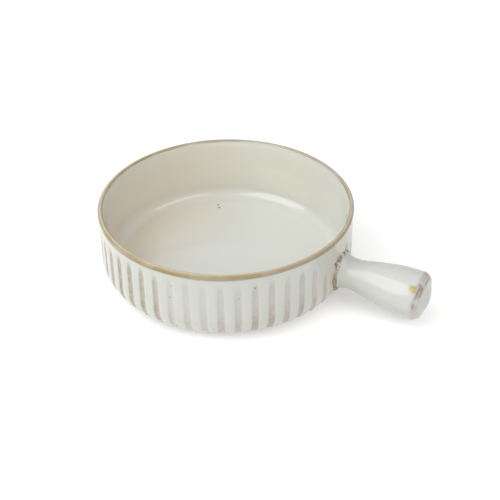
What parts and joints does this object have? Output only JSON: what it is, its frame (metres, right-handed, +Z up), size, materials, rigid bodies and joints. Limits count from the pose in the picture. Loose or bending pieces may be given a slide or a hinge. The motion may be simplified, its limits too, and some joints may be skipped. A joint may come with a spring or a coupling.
{
  "type": "pasta bowl",
  "caption": "Shallow round stoneware serving bowl with a fluted outer wall, rounded lip, foot ring and a hollow stub handle luted to its side.",
  "frame": {"origin": "middle of the footprint, bowl and handle together, on the surface that the bowl stands on", "axes": "+X along the handle, away from the bowl; +Z up, along the axis that the bowl is turned about"},
  "size_m": [0.2226, 0.165, 0.055],
  "materials": {
    "body_glaze": "glossy cream reactive glaze that breaks to tan on edges and in the flutes",
    "handle_glaze": "glossy cream reactive glaze that breaks to tan round the end",
    "slip": "satin, fired slip under a thin run of glaze"
  },
  "bodies": {
    "root": {"bowl_body": "body_glaze", "handle": "handle_glaze", "luting_slip": "slip"}
  },
  "joints": []
}
